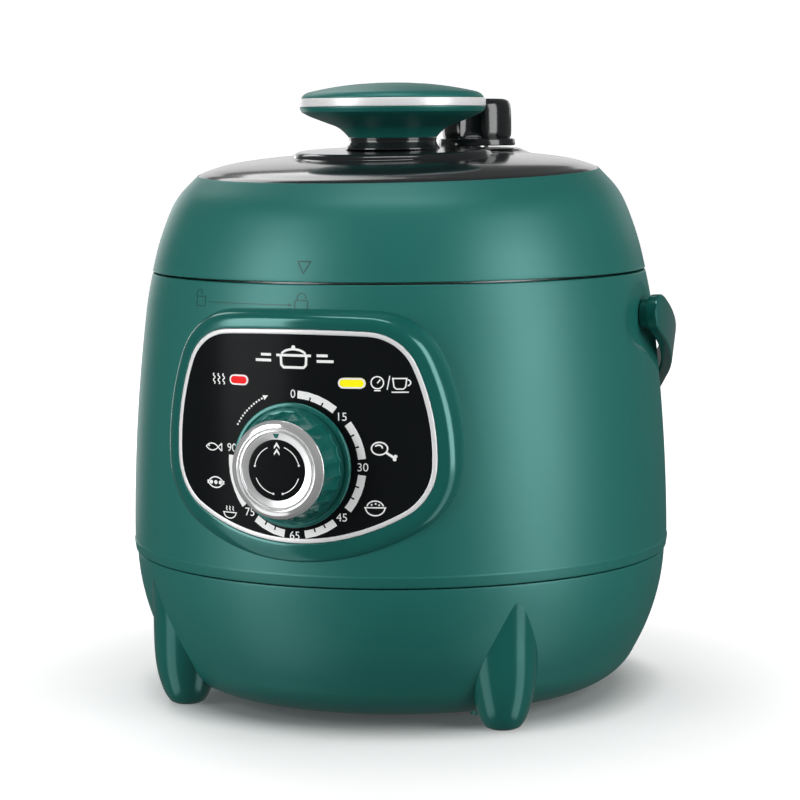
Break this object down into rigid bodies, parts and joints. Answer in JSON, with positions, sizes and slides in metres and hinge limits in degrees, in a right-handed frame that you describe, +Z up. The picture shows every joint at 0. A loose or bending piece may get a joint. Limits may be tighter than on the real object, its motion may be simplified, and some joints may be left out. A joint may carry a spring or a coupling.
{
  "type": "electric pressure cooker",
  "caption": "Round two-litre electric pressure cooker with a twist-lock lid, lid knob, exhaust valve, dial timer panel, swinging carry handle and splayed legs.",
  "frame": {"origin": "on the body's axis, on the surface that the foot pads stand on", "axes": "+Z up along the body's axis, -Y towards the control panel, +X to the right seen from above with the panel nearest"},
  "size_m": [0.2264, 0.258, 0.254],
  "materials": {
    "green_satin": "satin green plastic",
    "green_gloss": "gloss green plastic",
    "black_gloss": "gloss black plastic",
    "black_matte": "matt black plastic",
    "bright": "polished plating",
    "pressed_aluminium": "brushed",
    "cast_aluminium": "cast",
    "steel": "bright zinc",
    "nonstick": "dark coated aluminium",
    "brass": "plain",
    "silicone": "translucent white silicone",
    "black_rubber": "soft black",
    "red_lens": "clear red",
    "amber_lens": "clear amber",
    "circuit_board": "phenolic board",
    "white_plastic": "heat-proof white"
  },
  "bodies": {
    "body": {"body_shell": "green_satin", "base_bowl": "green_satin", "bottom_plate": "black_matte", "bottom_screws": "green_satin", "leg_front_right": "green_gloss", "leg_rear_right": "green_gloss", "leg_rear_left": "green_gloss", "leg_front_left": "green_gloss", "foot_pad_front_right": "black_rubber", "foot_pad_rear_right": "black_rubber", "foot_pad_rear_left": "black_rubber", "foot_pad_front_left": "black_rubber", "locking_collar": "pressed_aluminium", "outer_pot": "pressed_aluminium", "heating_plate": "cast_aluminium", "heater_terminals": "steel", "sensor_holder": "steel", "sensor_spring": "steel", "pressure_switch": "steel", "thermal_fuse": "white_plastic", "panel_bezel": "green_gloss", "panel_rim": "bright", "panel_overlay": "black_gloss", "heating_lamp": "red_lens", "keep_warm_lamp": "amber_lens", "timer_case": "steel", "lamp_board": "circuit_board", "lamp_bulbs": "white_plastic", "handle_pivot_pins": "steel", "inlet_housing": "black_matte", "inlet_pins": "brass"},
    "pot": {"inner_pot": "nonstick"},
    "seal": {"sealing_ring": "silicone"},
    "lid": {"lid_shell": "green_satin", "lid_cover": "black_gloss", "lid_plate": "pressed_aluminium", "lid_frame": "white_plastic", "seal_retainer": "steel", "knob_neck": "black_gloss", "knob_base": "green_gloss", "knob_band": "bright", "knob_cap": "green_gloss", "knob_screw": "steel", "valve_stem": "steel", "valve_nut": "steel", "anti_block_cap": "steel"},
    "exhaust_valve": {"valve_cap": "black_gloss"},
    "float": {"float_pin": "steel", "float_gasket": "silicone"},
    "interlock": {"interlock_slider": "steel"},
    "dial": {"timer_knob": "green_gloss", "timer_knob_ring": "bright", "timer_knob_disc": "black_gloss", "timer_shaft": "steel"},
    "handle": {"carry_handle": "green_gloss"},
    "sensor": {"sensor_cap": "pressed_aluminium"}
  },
  "joints": [
    {"name": "pot_lift", "type": "slide", "parent": "body", "child": "pot", "axis": [0, 0, 1], "range_m": [0, 0.25]},
    {"name": "lid_lift", "type": "slide", "parent": "pot", "child": "seal", "axis": [0, 0, 1], "range_m": [0, 0.15]},
    {"name": "lid_turn", "type": "hinge", "parent": "seal", "child": "lid", "pos_m": [0, 0, 0.18], "axis": [0, 0, 1], "range_deg": [-30, 0]},
    {"name": "valve_lift", "type": "slide", "parent": "lid", "child": "exhaust_valve", "axis": [0, 0, 1], "range_m": [0, 0.018]},
    {"name": "float_rise", "type": "slide", "parent": "lid", "child": "float", "axis": [0, 0, 1], "range_m": [0, 0.004]},
    {"name": "interlock_slide", "type": "slide", "parent": "lid", "child": "interlock", "axis": [0.3418, -0.9398, 0], "range_m": [0, 0.005]},
    {"name": "timer_turn", "type": "hinge", "parent": "body", "child": "dial", "pos_m": [0, -0.114, 0.1075], "axis": [0, 1, 0], "range_deg": [0, 280]},
    {"name": "handle_swing", "type": "hinge", "parent": "body", "child": "handle", "pos_m": [0, 0.0063, 0.1589], "axis": [1, 0, 0], "range_deg": [0, 116]},
    {"name": "sensor_press", "type": "slide", "parent": "body", "child": "sensor", "axis": [0, 0, 1], "range_m": [-0.003, 0], "stiffness_N_per_m": 900, "springref_m": 0.002, "deforming": ["sensor_spring"]}
  ],
  "couplings": [
    {"joint": "interlock_slide", "follows": "lid_turn", "m_per_rad": -0.009549}
  ]
}
